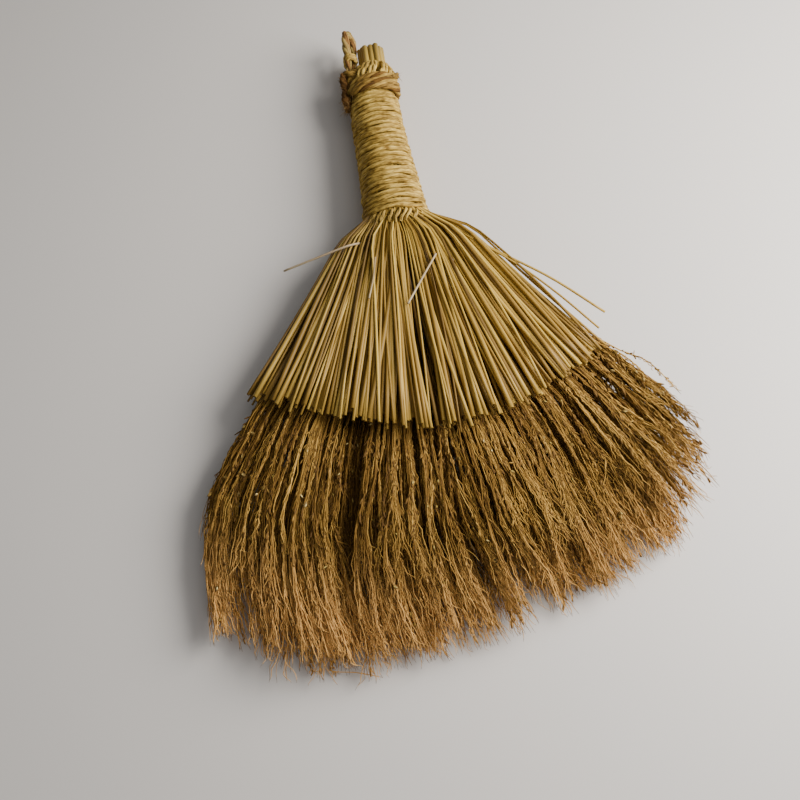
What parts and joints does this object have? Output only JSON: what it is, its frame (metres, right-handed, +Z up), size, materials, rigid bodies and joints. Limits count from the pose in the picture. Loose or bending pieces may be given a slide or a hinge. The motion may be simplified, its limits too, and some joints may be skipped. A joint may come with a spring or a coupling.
{
  "type": "hand broom",
  "caption": "Hand broom of bound broomcorn with a cord-wound handle, a stitched neck, a fanned straw skirt and brush, and a rope loop to hang it by.",
  "frame": {"origin": "middle of the underside, where the broom lies on the floor on its back", "axes": "+Y along the handle towards its top end and the hanging loop, +X to the right seen from above with the handle up, +Z up from the floor"},
  "size_m": [0.2748, 0.4134, 0.0421],
  "materials": {
    "broomcorn": "dry plant fibre, golden brown, matte",
    "stem_straw": "smooth dry stems, pale yellow, low sheen",
    "cut_straw": "smooth dry stalks, greenish yellow to tan, low sheen",
    "pale_cord": "pale twisted plant-fibre cord, matte",
    "brown_rope": "coarse brown plant-fibre rope, matte",
    "loop_fibre": "coarse twisted tan rope, matte"
  },
  "bodies": {
    "broom": {"stalk_stem_01": "stem_straw", "stalk_stem_02": "stem_straw", "stalk_stem_03": "stem_straw", "stalk_stem_04": "stem_straw", "stalk_stem_05": "stem_straw", "stalk_stem_06": "stem_straw", "stalk_stem_07": "stem_straw", "stalk_stem_08": "stem_straw", "stalk_stem_09": "stem_straw", "stalk_stem_10": "stem_straw", "stalk_stem_11": "stem_straw", "stalk_stem_12": "stem_straw", "stalk_stem_13": "stem_straw", "stalk_stem_14": "stem_straw", "stalk_stem_15": "stem_straw", "stalk_stem_16": "stem_straw", "stalk_stem_17": "stem_straw", "stalk_stem_18": "stem_straw", "stalk_stem_19": "stem_straw", "stalk_head_01": "broomcorn", "stalk_head_02": "broomcorn", "stalk_head_03": "broomcorn", "stalk_head_04": "broomcorn", "stalk_head_05": "broomcorn", "stalk_head_06": "broomcorn", "stalk_head_07": "broomcorn", "stalk_head_08": "broomcorn", "stalk_head_09": "broomcorn", "stalk_head_10": "broomcorn", "stalk_head_11": "broomcorn", "stalk_head_12": "broomcorn", "stalk_head_13": "broomcorn", "stalk_head_14": "broomcorn", "stalk_head_15": "broomcorn", "stalk_head_16": "broomcorn", "stalk_head_17": "broomcorn", "stalk_head_18": "broomcorn", "stalk_head_19": "broomcorn", "handle_straws": "cut_straw", "front_straw_sheaf_01": "cut_straw", "front_straw_sheaf_02": "cut_straw", "front_straw_sheaf_03": "cut_straw", "front_straw_sheaf_04": "cut_straw", "front_straw_sheaf_05": "cut_straw", "front_straw_sheaf_06": "cut_straw", "front_straw_sheaf_07": "cut_straw", "front_straw_sheaf_08": "cut_straw", "back_straw_sheaf_01": "cut_straw", "back_straw_sheaf_02": "cut_straw", "back_straw_sheaf_03": "cut_straw", "back_straw_sheaf_04": "cut_straw", "handle_winding": "pale_cord", "top_stitching": "pale_cord", "neck_stitching": "pale_cord", "stalk_tie_upper": "pale_cord", "stalk_tie_lower": "pale_cord", "collar_rope": "brown_rope", "loop_knot": "brown_rope", "loop_tail": "brown_rope"},
    "hanging_loop": {"hanging_loop": "loop_fibre"}
  },
  "joints": [
    {"name": "hanging_loop_flex", "type": "hinge", "parent": "broom", "child": "hanging_loop", "pos_m": [-0.02636, 0.17693, 0.01954], "axis": [-0.4848, 0, 0.8746], "range_deg": [0, 75], "stiffness_Nm_per_rad": 0.01}
  ]
}
